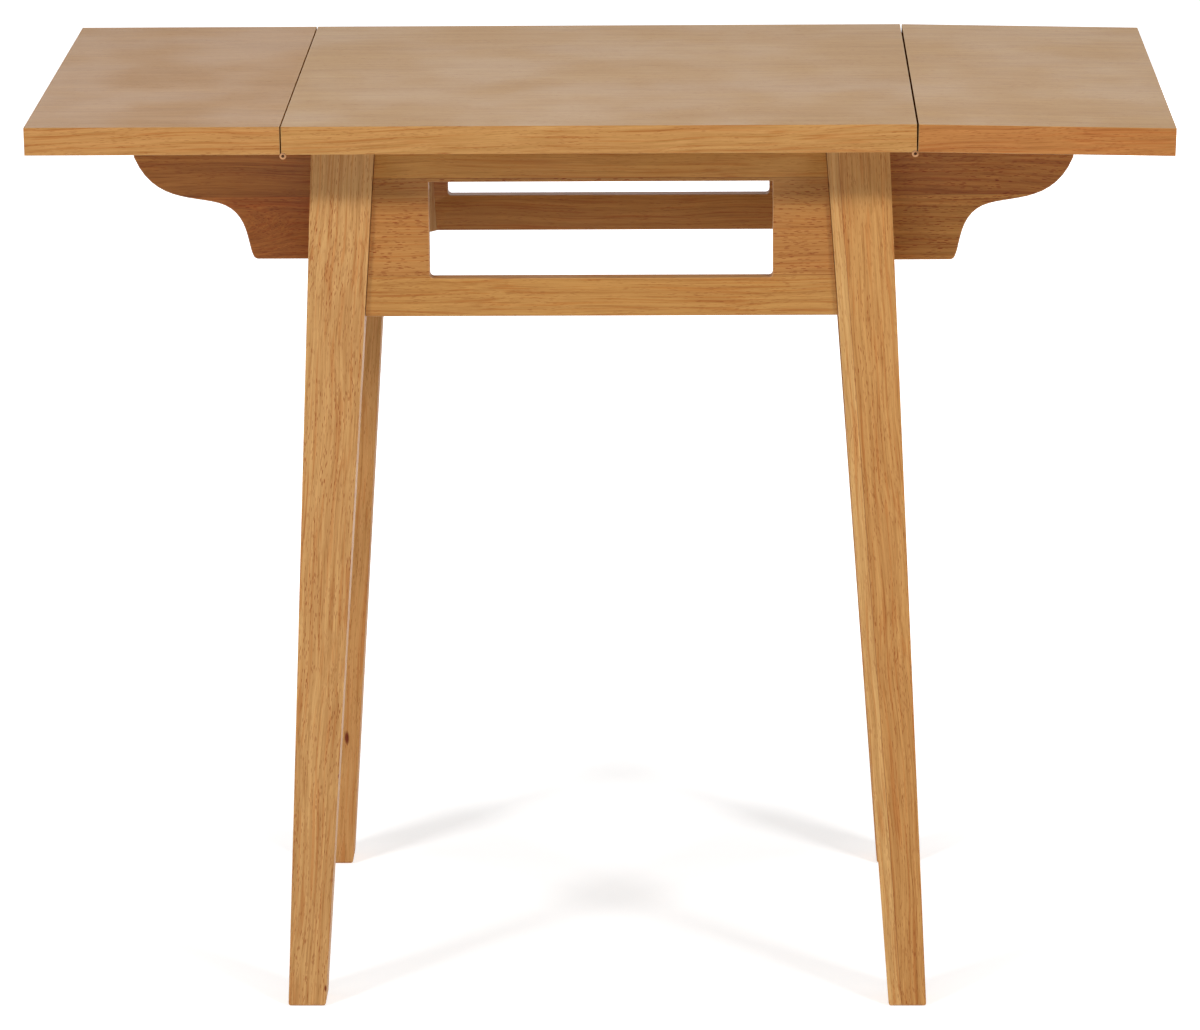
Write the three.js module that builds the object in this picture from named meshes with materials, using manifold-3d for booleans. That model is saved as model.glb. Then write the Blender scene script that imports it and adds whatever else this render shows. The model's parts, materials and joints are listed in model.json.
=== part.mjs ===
// Drop leaf table: a frame of pierced aprons on tapered, splayed legs carries a fixed centre top. A leaf
// hangs from each end on a piano hinge and rests on a scrolled bracket that swings out from the end rail.
// Millimetres, +Z up, +X towards the right leaf, -Y towards the front, origin on the floor under the centre.
import * as THREE from 'three';
import { mergeVertices } from 'three/addons/utils/BufferGeometryUtils.js';
import Module from 'manifold-3d';

const manifold = await Module();
manifold.setup();

// Fits
const SEAT_GAP = 0.3; // left between two pieces that touch
const RUNNING_GAP = 0.1; // radial, between a hinge pin and its knuckles

// Top
const TABLE_HEIGHT = 750;
const TABLE_DEPTH = 400;
const CENTRE_LENGTH = 500;
const LEAF_LENGTH = 202;
const TOP_THICKNESS = 22.5;
const SEAM_GAP = 1;

// Legs: the insets are at the top end, and each splay is how far the foot stands out past it
const LEG_INSET_X = 20;
const LEG_INSET_Y = 49;
const LEG_TOP_WIDTH = 50.5;
const LEG_FOOT_WIDTH = 31;
const LEG_THICKNESS = 30;
const LEG_SPLAY_X = 34.7;
const LEG_SPLAY_Y = 32.5;
const LEG_CORNER_FLAT = 8; // planed off the inner corner, at its top, to seat the brace
const FOOT_ROUND = 3;
const FOOT_ROUND_STEPS = 3;

// Aprons and end rails
const FRAME_DEPTH = 143.5;
const APRON_THICKNESS = 12;
const APRON_SETBACK = 4;
const WINDOW_LENGTH = 275;
const WINDOW_HEIGHT = 78.3;
const WINDOW_SILL = 31;
const WINDOW_SILL_RADIUS = 3; // of its two lower corners; the upper two are square
const WINDOW_CORNER_STEPS = 4;
const RAIL_THICKNESS = 18;

// Corner braces and the hanger bolts that hold the legs to them
const BRACE_THICKNESS = 16;
const BOLT_RADIUS = 4;
const BOLT_HOLE_RADIUS = 4.4;
const BOLT_DEPTH_IN_LEG = 26;
const BOLT_POINT_LENGTH = 6;
const BOLT_END_ROUNDING = 1;
const BOLT_END_PAST_NUT = 3;
const BOLT_DROPS = { upper: 36, lower: 104 }; // below the top of the frame
const WASHER_RADIUS = 8;
const WASHER_THICKNESS = 1.6;
const NUT_ACROSS_FLATS = 13;
const NUT_THICKNESS = 6.5;
const ROUND_SIDES = 24;

// Cleats that hold the centre top down
const CLEAT_LENGTH = 250;
const CLEAT_WIDTH = 20;
const CLEAT_DEPTH = 18;

// Strip hinges
const PIN_RADIUS = 1.15;
const BARREL_RADIUS = 2.7;
const BARREL_SIDES = 16;
const WING_THICKNESS = 1.1;
const WING_WIDTH = 13;
const WING_REBATE = 1.6;
const SEAM_HINGE_END_INSET = 1;
const SEAM_WING_STOP = 8; // how far its wings and their rebates stop short of the boards' ends
const SEAM_AXIS_INSET = 1.6; // how far inboard of the seam its hinge turns
const SEAM_KNUCKLES = 16;
const BRACKET_HINGE_LENGTH = 100;
const BRACKET_KNUCKLES = 10;

// Swing brackets
const BRACKET_THICKNESS = 18;
const BRACKET_REACH = 156.7;
const BRACKET_HEIGHT = 114.2;
const BRACKET_STEM = 59.8; // length of the flat foot along the bottom edge
const BRACKET_TOE_ROUND = 3;
const BRACKET_WAIST = 47.1; // how far the bottom edge has risen where cove meets bulb
const BRACKET_WAIST_REACH = 88.6;
const BRACKET_WAIST_SLOPE = 0.277;
const BRACKET_TIP_HEIGHT = 28.6;
const COVE_PULLS = { toe: [5.2, 10.7], waist: 24.9 }; // how far each end draws its curve on before it bends
const BULB_PULLS = { waist: 22.2, tip: [14.7, 37.3] };
const LEFT_BRACKET_DROP = 0;
const RIGHT_BRACKET_DROP = 2.5; // how far the right bracket is hung low, which lets its leaf sag
const BRACKET_CURVE_STEPS = 12;
const BARREL_CLEARANCE = 0.5; // between the bracket and the barrel that it swings under
const FOLDED_TIP_CLEARANCE = 7;
const FOLDED_FACE_CLEARANCE = 0.5;
const PAD_LENGTH = 16;
const PAD_FROM_TIP = 6;

// Worked-out places
const UNDERSIDE = TABLE_HEIGHT - TOP_THICKNESS;
const FRAME_TOP = UNDERSIDE - SEAT_GAP;
const FRAME_BOTTOM = FRAME_TOP - FRAME_DEPTH;
const FRONT_EDGE = -TABLE_DEPTH / 2;
const SEAM_X = CENTRE_LENGTH / 2 + SEAM_GAP / 2;
const SEAM_AXIS_X = SEAM_X - SEAM_AXIS_INSET;
const WING_SEAT = UNDERSIDE + WING_REBATE - SEAT_GAP;
const SEAM_AXIS_Z = WING_SEAT - BARREL_RADIUS;
const HINGE_OFFSET = BARREL_RADIUS + SEAT_GAP;
const HALF_FACET = Math.PI / BARREL_SIDES; // turns a barrel so that a facet, not an edge, is on top
const RAIL_OUTER = SEAM_X - FOLDED_FACE_CLEARANCE - BRACKET_THICKNESS - 2 * HINGE_OFFSET;
const RAIL_INNER = RAIL_OUTER - RAIL_THICKNESS;
const BRACKET_TOP = SEAM_AXIS_Z - BARREL_RADIUS - BARREL_CLEARANCE;
const BRACKET_AXIS_X = RAIL_OUTER + HINGE_OFFSET;
const BRACKET_TIP_RADIUS = BRACKET_REACH - HINGE_OFFSET;
const BRACKET_AXIS_Y = -legAt(FRAME_TOP).back - FOLDED_TIP_CLEARANCE - BRACKET_TIP_RADIUS;
const BRACKET_BACK_Y = BRACKET_AXIS_Y - HINGE_OFFSET;
const PAD_OUTER = RAIL_OUTER + BRACKET_REACH - PAD_FROM_TIP - SEAM_AXIS_X; // from the seam hinge's axis
const PAD_UNDERSIDE = BRACKET_TOP + SEAT_GAP - SEAM_AXIS_Z;

const colours = {
  top: { color: 0xcda577, roughness: 0.45, metalness: 0 },
  wood: { color: 0xb98a55, roughness: 0.5, metalness: 0 },
  shaded: { color: 0x8f5f33, roughness: 0.55, metalness: 0 },
  cleat: { color: 0xa9794a, roughness: 0.6, metalness: 0 },
  hinge: { color: 0xc9b487, roughness: 0.35, metalness: 0.9 },
  steel: { color: 0xa7a9ab, roughness: 0.4, metalness: 0.9 },
};

// The front right leg's four sides at one height. The other legs mirror it.
function legAt(z) {
  const down = (FRAME_TOP - z) / FRAME_TOP;
  const outer = CENTRE_LENGTH / 2 - LEG_INSET_X + LEG_SPLAY_X * down;
  const width = LEG_TOP_WIDTH + (LEG_FOOT_WIDTH - LEG_TOP_WIDTH) * down;
  const front = FRONT_EDGE + LEG_INSET_Y - LEG_SPLAY_Y * down;
  return { inner: outer - width, outer, front, back: front + LEG_THICKNESS };
}

// The front apron leans with the legs: y of its front and back faces at one height.
function apronAt(z) {
  const front = legAt(z).front + APRON_SETBACK;
  return { front, back: front + APRON_THICKNESS };
}

// ---- shaping helpers

function asSolid(geometry) {
  const bare = new THREE.BufferGeometry();
  bare.setAttribute('position', geometry.getAttribute('position'));
  bare.setIndex(geometry.getIndex());
  const welded = mergeVertices(bare, 1e-4);
  return new manifold.Manifold(
    new manifold.Mesh({
      numProp: 3,
      vertProperties: Float32Array.from(welded.getAttribute('position').array),
      triVerts: Uint32Array.from(welded.getIndex().array),
    }),
  );
}

function asGeometry(solid) {
  const mesh = solid.getMesh();
  const geometry = new THREE.BufferGeometry();
  geometry.setAttribute('position', new THREE.BufferAttribute(mesh.vertProperties, 3));
  geometry.setIndex(new THREE.BufferAttribute(mesh.triVerts, 1));
  geometry.computeVertexNormals();
  return geometry;
}

function cut(body, tools) {
  return asGeometry(tools.reduce((solid, tool) => solid.subtract(asSolid(tool)), asSolid(body)));
}

function join(pieces) {
  return asGeometry(pieces.map(asSolid).reduce((whole, piece) => whole.add(piece)));
}

// A closed solid through rings of equal length, each listed anticlockwise from above, lowest ring first.
function loft(rings) {
  const count = rings[0].length;
  const positions = rings.flat(2);
  const index = [];
  for (let ring = 0; ring + 1 < rings.length; ring += 1) {
    for (let i = 0; i < count; i += 1) {
      const a = ring * count + i;
      const b = ring * count + ((i + 1) % count);
      index.push(a, b, b + count, a, b + count, a + count);
    }
  }
  const last = (rings.length - 1) * count;
  for (let i = 1; i + 1 < count; i += 1) {
    index.push(0, i + 1, i, last, last + i, last + i + 1);
  }
  const geometry = new THREE.BufferGeometry();
  geometry.setAttribute('position', new THREE.Float32BufferAttribute(positions, 3));
  geometry.setIndex(index);
  geometry.computeVertexNormals();
  return geometry;
}

function polygon(points) {
  return new THREE.Shape(points.map(([x, y]) => new THREE.Vector2(x, y)));
}

// three gives an arc or a circle twice as many sides as curveSegments, and a Bezier curve just as many.
function extrude(shape, depth, curveSegments) {
  return new THREE.ExtrudeGeometry(shape, { depth, bevelEnabled: false, curveSegments });
}

// A shape drawn in X and Z, made solid from y = front to y = back.
function extrudeAlongY(shape, front, back) {
  const geometry = extrude(shape, back - front, WINDOW_CORNER_STEPS / 2);
  geometry.rotateX(Math.PI / 2);
  geometry.translate(0, back, 0);
  return geometry;
}

// A shape drawn in Y and Z, made solid from x = inner to x = outer.
function extrudeAlongX(shape, inner, outer) {
  const geometry = extrude(shape, outer - inner, 1);
  geometry.rotateX(Math.PI / 2);
  geometry.rotateZ(Math.PI / 2);
  geometry.translate(inner, 0, 0);
  return geometry;
}

// Slides each layer of a front piece in Y, so that it leans as the legs do.
function leanWithLegs(geometry) {
  const slope = LEG_SPLAY_Y / FRAME_TOP;
  const shear = new THREE.Matrix4().makeShear(0, 0, 0, 0, 0, slope);
  geometry.translate(0, 0, -FRAME_TOP);
  geometry.applyMatrix4(shear);
  geometry.translate(0, 0, FRAME_TOP);
  return geometry;
}

// A copy for another side of the table: sideX and sideY are 1 to keep a direction, or -1 to mirror it.
function mirrored(geometry, sideX, sideY) {
  const copy = geometry.clone().scale(sideX, sideY, 1);
  if (sideX * sideY < 0) {
    if (!copy.getIndex()) copy.setIndex([...Array(copy.getAttribute('position').count).keys()]);
    const index = copy.getIndex();
    for (let i = 0; i < index.count; i += 3) {
      const second = index.getX(i + 1);
      index.setX(i + 1, index.getX(i + 2));
      index.setX(i + 2, second);
    }
    copy.computeVertexNormals();
  }
  return copy;
}

function piece(name, geometry, finish) {
  const mesh = new THREE.Mesh(geometry, new THREE.MeshStandardMaterial(colours[finish]));
  mesh.name = name;
  return mesh;
}

// ---- top

// What one board loses to its seam hinge, from the axis: a rebate stopped at both ends for the wing that
// lies towards -X, and a groove right through for the barrel.
function seamHingeWaste() {
  const reach = WING_WIDTH + SEAT_GAP;
  const rebateLength = TABLE_DEPTH - 2 * (SEAM_WING_STOP - SEAT_GAP);
  const rebate = new THREE.BoxGeometry(reach + SEAM_AXIS_INSET, rebateLength, 2 * HINGE_OFFSET);
  rebate.translate((SEAM_AXIS_INSET - reach) / 2, 0, 0);
  const grooveLength = TABLE_DEPTH + 2 * SEAT_GAP;
  const groove = new THREE.CylinderGeometry(HINGE_OFFSET, HINGE_OFFSET, grooveLength, BARREL_SIDES);
  return [rebate, groove.rotateY(HALF_FACET)];
}

function centreTop() {
  const board = new THREE.BoxGeometry(CENTRE_LENGTH, TABLE_DEPTH, TOP_THICKNESS);
  board.translate(0, 0, TABLE_HEIGHT - TOP_THICKNESS / 2);
  const right = seamHingeWaste().map((tool) => tool.translate(SEAM_AXIS_X, 0, SEAM_AXIS_Z));
  const left = right.map((tool) => mirrored(tool, -1, 1));
  return cut(board, [...right, ...left]);
}

// The leaf is drawn from its hinge axis: x outwards, z up.
function leafBoard() {
  const inner = SEAM_AXIS_INSET + SEAM_GAP / 2;
  const middle = UNDERSIDE + TOP_THICKNESS / 2 - SEAM_AXIS_Z;
  const board = new THREE.BoxGeometry(LEAF_LENGTH, TABLE_DEPTH, TOP_THICKNESS);
  board.translate(inner + LEAF_LENGTH / 2, 0, middle);
  return cut(board, seamHingeWaste().map((tool) => mirrored(tool, -1, 1)));
}

// The pad on the leaf's underside, over the bracket's tip.
function leafPad() {
  const top = UNDERSIDE - SEAM_AXIS_Z - SEAT_GAP;
  const section = polygon([
    [PAD_OUTER - PAD_LENGTH, PAD_UNDERSIDE],
    [PAD_OUTER, PAD_UNDERSIDE],
    [PAD_OUTER, top],
    [PAD_OUTER - PAD_LENGTH, top],
  ]);
  return extrudeAlongY(section, BRACKET_BACK_Y - BRACKET_THICKNESS, BRACKET_BACK_Y);
}

// How far a leaf turns down from level before its pad lands on a bracket that is hung low.
function sagOver(bracketDrop) {
  const radius = Math.hypot(PAD_OUTER, PAD_UNDERSIDE);
  return Math.acos((PAD_UNDERSIDE - bracketDrop) / radius) - Math.atan2(PAD_OUTER, PAD_UNDERSIDE);
}

// ---- frame

function legRing(z, inset) {
  const side = legAt(z);
  return [
    [side.inner + inset, side.front + inset, z],
    [side.outer - inset, side.front + inset, z],
    [side.outer - inset, side.back - inset, z],
    [side.inner + inset, side.back - inset, z],
  ];
}

function leg() {
  const rings = [];
  for (let step = 0; step <= FOOT_ROUND_STEPS; step += 1) {
    const angle = (step / FOOT_ROUND_STEPS) * (Math.PI / 2);
    rings.push(legRing(FOOT_ROUND * (1 - Math.cos(angle)), FOOT_ROUND * (1 - Math.sin(angle))));
  }
  rings.push(legRing(FRAME_TOP, 0));
  const bolts = Object.values(BOLT_DROPS).map((drop) => boltHole(FRAME_TOP - drop));
  return cut(loft(rings), [cornerWaste(), ...bolts]);
}

// What is planed off the inner corner down to the frame's bottom edge.
function cornerWaste() {
  const block = new THREE.BoxGeometry(LEG_THICKNESS, LEG_THICKNESS, 2 * FRAME_DEPTH);
  const { inner, back } = legAt(FRAME_TOP);
  const centre = INWARD.clone().multiplyScalar(LEG_THICKNESS / 2 - LEG_CORNER_FLAT);
  return block.rotateZ(Math.PI / 4).translate(inner + centre.x, back + centre.y, FRAME_TOP);
}

function apron() {
  const top = legAt(FRAME_TOP).inner - SEAT_GAP;
  const bottom = legAt(FRAME_BOTTOM).inner - SEAT_GAP;
  const board = polygon([
    [-bottom, FRAME_BOTTOM],
    [bottom, FRAME_BOTTOM],
    [top, FRAME_TOP],
    [-top, FRAME_TOP],
  ]);
  const half = WINDOW_LENGTH / 2;
  const sill = FRAME_BOTTOM + WINDOW_SILL;
  const lintel = sill + WINDOW_HEIGHT;
  const r = WINDOW_SILL_RADIUS;
  const window = new THREE.Path();
  window.moveTo(-half + r, sill);
  window.absarc(half - r, sill + r, r, -Math.PI / 2, 0);
  window.lineTo(half, lintel);
  window.lineTo(-half, lintel);
  window.absarc(-half + r, sill + r, r, Math.PI, 1.5 * Math.PI);
  board.holes.push(window);
  const { front, back } = apronAt(FRAME_TOP);
  return leanWithLegs(extrudeAlongY(board, front, back));
}

function endRail() {
  const top = legAt(FRAME_TOP).back + SEAT_GAP;
  const bottom = legAt(FRAME_BOTTOM).back + SEAT_GAP;
  const board = polygon([
    [bottom, FRAME_BOTTOM],
    [-bottom, FRAME_BOTTOM],
    [-top, FRAME_TOP],
    [top, FRAME_TOP],
  ]);
  return extrudeAlongX(board, RAIL_INNER, RAIL_OUTER);
}

function cleat() {
  const section = polygon([
    [-CLEAT_LENGTH / 2, FRAME_TOP - CLEAT_DEPTH],
    [CLEAT_LENGTH / 2, FRAME_TOP - CLEAT_DEPTH],
    [CLEAT_LENGTH / 2, FRAME_TOP],
    [-CLEAT_LENGTH / 2, FRAME_TOP],
  ]);
  const seat = apronAt(FRAME_TOP).back + SEAT_GAP;
  return leanWithLegs(extrudeAlongY(section, seat, seat + CLEAT_WIDTH));
}

// ---- corner brace and leg bolts, for the front right corner

const INWARD = new THREE.Vector3(-1, 1, 0).normalize();

// How far a point lies inside the corner of the frame, along the diagonal.
function diagonal(x, y) {
  return new THREE.Vector3(x - RAIL_INNER, y - apronAt(FRAME_TOP).back, 0).dot(INWARD);
}

function braceFaces() {
  const { inner, back } = legAt(FRAME_TOP);
  const outer = diagonal(inner, back) - LEG_CORNER_FLAT + SEAT_GAP;
  return { outer, inner: outer + BRACE_THICKNESS };
}

function brace() {
  const faces = braceFaces();
  const railX = RAIL_INNER - SEAT_GAP;
  const ring = (z) => {
    const apronY = apronAt(z).back + SEAT_GAP;
    const onRail = (distance) => [railX, apronAt(FRAME_TOP).back + distance * Math.SQRT2 - SEAT_GAP, z];
    const onApron = (distance) => {
      const along = distance * Math.SQRT2 - (apronY - apronAt(FRAME_TOP).back);
      return [RAIL_INNER - along, apronY, z];
    };
    return [onApron(faces.inner), onApron(faces.outer), onRail(faces.outer), onRail(faces.inner)];
  };
  const board = loft([ring(FRAME_BOTTOM), ring(FRAME_TOP)]);
  return cut(board, Object.values(BOLT_DROPS).map((drop) => boltHole(FRAME_TOP - drop)));
}

// Turns a piece drawn along +Z from the leg's corner so that it lies along the bolt's axis at one height.
function onBoltAxis(geometry, z) {
  const { inner, back } = legAt(z);
  const turn = new THREE.Quaternion().setFromUnitVectors(new THREE.Vector3(0, 0, 1), INWARD);
  return geometry.applyQuaternion(turn).translate(inner, back, z);
}

function nutSeat(z) {
  const { inner, back } = legAt(z);
  return braceFaces().inner - diagonal(inner, back) + SEAT_GAP;
}

function boltHole(z) {
  const start = -BOLT_DEPTH_IN_LEG - SEAT_GAP;
  const end = nutSeat(z) + SEAT_GAP;
  const drill = new THREE.CylinderGeometry(BOLT_HOLE_RADIUS, BOLT_HOLE_RADIUS, end - start, ROUND_SIDES);
  drill.rotateX(Math.PI / 2).translate(0, 0, (start + end) / 2);
  return onBoltAxis(drill, z);
}

function bolt(z) {
  const end = nutSeat(z) + WASHER_THICKNESS + SEAT_GAP + NUT_THICKNESS + BOLT_END_PAST_NUT;
  const profile = [
    [0, -BOLT_DEPTH_IN_LEG],
    [BOLT_RADIUS, -BOLT_DEPTH_IN_LEG + BOLT_POINT_LENGTH],
    [BOLT_RADIUS, end - BOLT_END_ROUNDING],
    [BOLT_RADIUS - BOLT_END_ROUNDING, end],
    [0, end],
  ];
  const shank = new THREE.LatheGeometry(profile.map(([r, y]) => new THREE.Vector2(r, y)), ROUND_SIDES);
  return onBoltAxis(join([shank.rotateX(Math.PI / 2)]), z);
}

function washer(z) {
  const ring = new THREE.Shape().absarc(0, 0, WASHER_RADIUS, 0, 2 * Math.PI);
  ring.holes.push(new THREE.Path().absarc(0, 0, BOLT_HOLE_RADIUS, 0, 2 * Math.PI));
  return onBoltAxis(extrude(ring, WASHER_THICKNESS, ROUND_SIDES / 2).translate(0, 0, nutSeat(z)), z);
}

function nut(z) {
  const corner = NUT_ACROSS_FLATS / Math.sqrt(3);
  const hexagon = polygon(
    Array.from({ length: 6 }, (_, i) => [
      corner * Math.cos((i * Math.PI) / 3),
      corner * Math.sin((i * Math.PI) / 3),
    ]),
  );
  hexagon.holes.push(new THREE.Path().absarc(0, 0, BOLT_HOLE_RADIUS, 0, 2 * Math.PI));
  const seat = nutSeat(z) + WASHER_THICKNESS + SEAT_GAP;
  return onBoltAxis(extrude(hexagon, NUT_THICKNESS, ROUND_SIDES / 2).translate(0, 0, seat), z);
}

// ---- strip hinges. The pin lies along +Z from 0. Each wing lies flat against its wood at y = BARREL_RADIUS.

// A barrel in section, around its bore.
function barrelSection() {
  const section = new THREE.Shape().absarc(0, 0, BARREL_RADIUS, HALF_FACET, HALF_FACET + 2 * Math.PI);
  section.holes.push(new THREE.Path().absarc(0, 0, PIN_RADIUS + RUNNING_GAP, 0, 2 * Math.PI));
  return section;
}

// Sheet metal level with the barrel's top, between two places in x and two along the hinge.
function hingeSheet(left, right, start, end) {
  const sheet = new THREE.BoxGeometry(right - left, WING_THICKNESS, end - start);
  return sheet.translate((left + right) / 2, BARREL_RADIUS - WING_THICKNESS / 2, (start + end) / 2);
}

// A wing with its sheet towards -X and every second knuckle, starting with the first or the second. The
// sheet, and the neck that joins each knuckle to it, stop short of the barrel's ends.
function hingeWing(length, knuckles, first, stop) {
  const pitch = length / knuckles;
  const pieces = [hingeSheet(-WING_WIDTH, -HINGE_OFFSET, stop, length - stop)];
  for (let k = first; k < knuckles; k += 2) {
    const start = k * pitch + SEAT_GAP / 2;
    const end = (k + 1) * pitch - SEAT_GAP / 2;
    pieces.push(extrude(barrelSection(), end - start, BARREL_SIDES / 2).translate(0, 0, start));
    const neckEnds = [Math.max(start, stop), Math.min(end, length - stop)];
    pieces.push(hingeSheet(-HINGE_OFFSET - WING_THICKNESS, 0, ...neckEnds));
  }
  return join(pieces);
}

function stripHinge(length, knuckles, stop) {
  const pin = new THREE.CylinderGeometry(PIN_RADIUS, PIN_RADIUS, length, BARREL_SIDES);
  return {
    fixed: hingeWing(length, knuckles, 0, stop),
    moving: mirrored(hingeWing(length, knuckles, 1, stop), -1, 1),
    pin: pin.rotateX(Math.PI / 2).translate(0, 0, length / 2),
  };
}

// ---- swing bracket, drawn at the right end: x from the hinge axis, y from the hinge axis, true height

function bracketBoard() {
  const along = (reach) => RAIL_OUTER + reach - BRACKET_AXIS_X;
  const bottom = BRACKET_TOP - BRACKET_HEIGHT;
  const heel = along(SEAT_GAP);
  const corner = new THREE.Vector2(along(BRACKET_STEM), bottom);
  const toePull = new THREE.Vector2(...COVE_PULLS.toe);
  const toe = toePull.clone().setLength(BRACKET_TOE_ROUND).add(corner);
  const waist = new THREE.Vector2(along(BRACKET_WAIST_REACH), bottom + BRACKET_WAIST);
  const level = new THREE.Vector2(1, BRACKET_WAIST_SLOPE);
  const tip = new THREE.Vector2(along(BRACKET_REACH), BRACKET_TOP - BRACKET_TIP_HEIGHT);
  const coveEnds = [toe.clone().add(toePull), waist.clone().addScaledVector(level, -COVE_PULLS.waist)];
  const tipPull = new THREE.Vector2(...BULB_PULLS.tip);
  const bulbEnds = [waist.clone().addScaledVector(level, BULB_PULLS.waist), tip.clone().sub(tipPull)];
  const outline = new THREE.Shape();
  outline.moveTo(tip.x, BRACKET_TOP);
  outline.lineTo(heel, BRACKET_TOP);
  outline.lineTo(heel, bottom);
  outline.lineTo(corner.x - BRACKET_TOE_ROUND, bottom);
  outline.quadraticCurveTo(corner.x, corner.y, toe.x, toe.y);
  outline.bezierCurveTo(...coveEnds[0], ...coveEnds[1], ...waist);
  outline.bezierCurveTo(...bulbEnds[0], ...bulbEnds[1], ...tip);
  const board = extrude(outline, BRACKET_THICKNESS, BRACKET_CURVE_STEPS);
  return board.rotateX(Math.PI / 2).translate(0, -HINGE_OFFSET, 0);
}

// ---- assembly

function addTop(table) {
  table.add(piece('centre_top', centreTop(), 'top'));
}

function addFrame(table) {
  for (const [name, sideY] of [['front', 1], ['back', -1]]) {
    table.add(piece(`${name}_apron`, mirrored(apron(), 1, sideY), 'wood'));
    table.add(piece(`${name}_cleat`, mirrored(cleat(), 1, sideY), 'cleat'));
  }
  for (const [name, sideX] of [['left', -1], ['right', 1]]) {
    table.add(piece(`${name}_end_rail`, mirrored(endRail(), sideX, 1), 'shaded'));
  }
}

function addCorners(table) {
  const corners = [
    ['front_left', -1, 1],
    ['front_right', 1, 1],
    ['back_left', -1, -1],
    ['back_right', 1, -1],
  ];
  for (const [corner, sideX, sideY] of corners) {
    const place = (geometry) => mirrored(geometry, sideX, sideY);
    table.add(piece(`${corner}_leg`, place(leg()), 'wood'));
    table.add(piece(`${corner}_brace`, place(brace()), 'shaded'));
    for (const [level, drop] of Object.entries(BOLT_DROPS)) {
      const z = FRAME_TOP - drop;
      table.add(piece(`${corner}_${level}_bolt`, place(bolt(z)), 'steel'));
      table.add(piece(`${corner}_${level}_washer`, place(washer(z)), 'steel'));
      table.add(piece(`${corner}_${level}_nut`, place(nut(z)), 'steel'));
    }
  }
}

function addLeaf(table, name, sideX, bracketDrop) {
  const hingeLength = TABLE_DEPTH - 2 * SEAM_HINGE_END_INSET;
  const hinge = stripHinge(hingeLength, SEAM_KNUCKLES, SEAM_WING_STOP - SEAM_HINGE_END_INSET);
  const lay = (geometry) => {
    const laid = geometry.rotateX(Math.PI / 2).translate(0, TABLE_DEPTH / 2 - SEAM_HINGE_END_INSET, 0);
    return mirrored(laid, sideX, 1);
  };
  const fixed = new THREE.Group();
  fixed.position.set(sideX * SEAM_AXIS_X, 0, SEAM_AXIS_Z);
  fixed.add(piece(`${name}_seam_hinge_top_wing`, lay(hinge.fixed), 'hinge'));
  fixed.add(piece(`${name}_seam_hinge_pin`, lay(hinge.pin), 'hinge'));
  const leaf = new THREE.Group();
  leaf.position.copy(fixed.position);
  leaf.rotation.y = sideX * sagOver(bracketDrop);
  leaf.add(piece(`${name}_leaf`, mirrored(leafBoard(), sideX, 1), 'top'));
  leaf.add(piece(`${name}_leaf_pad`, mirrored(leafPad(), sideX, 1), 'cleat'));
  leaf.add(piece(`${name}_seam_hinge_leaf_wing`, lay(hinge.moving), 'hinge'));
  table.add(fixed, leaf);
}

function addBracket(table, name, sideX, drop) {
  const hinge = stripHinge(BRACKET_HINGE_LENGTH, BRACKET_KNUCKLES, 0);
  const foot = BRACKET_TOP - (BRACKET_HEIGHT + BRACKET_HINGE_LENGTH) / 2;
  const quarter = Math.PI / 2;
  const stand = (geometry, turn) => mirrored(geometry.rotateZ(turn).translate(0, 0, foot), sideX, -1);
  const bracket = new THREE.Group();
  bracket.position.set(sideX * BRACKET_AXIS_X, BRACKET_AXIS_Y, -drop);
  bracket.add(piece(`${name}_bracket`, mirrored(bracketBoard(), sideX, 1), 'shaded'));
  bracket.add(piece(`${name}_bracket_hinge_bracket_wing`, stand(hinge.moving, 0), 'hinge'));
  bracket.add(piece(`${name}_bracket_hinge_rail_wing`, stand(hinge.fixed, quarter), 'hinge'));
  bracket.add(piece(`${name}_bracket_hinge_pin`, stand(hinge.pin, 0), 'hinge'));
  table.add(bracket);
}

const table = new THREE.Group();
addTop(table);
addFrame(table);
addCorners(table);
addLeaf(table, 'left', -1, LEFT_BRACKET_DROP);
addLeaf(table, 'right', 1, RIGHT_BRACKET_DROP);
addBracket(table, 'left', -1, LEFT_BRACKET_DROP);
addBracket(table, 'right', 1, RIGHT_BRACKET_DROP);

export default table;
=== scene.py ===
"""A small drop leaf table in clear lacquered rubberwood, standing in a white studio.

Metres, +Z up, in the table's own frame: the front is towards -Y and the floor is z = 0. The
sections follow the way the table is put together, upside down on the bench: the top and its
hinges first, then the frame with its legs, and the swing brackets last.
"""

import json
import math

import bmesh
import bpy
from mathutils import Matrix, Vector

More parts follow.
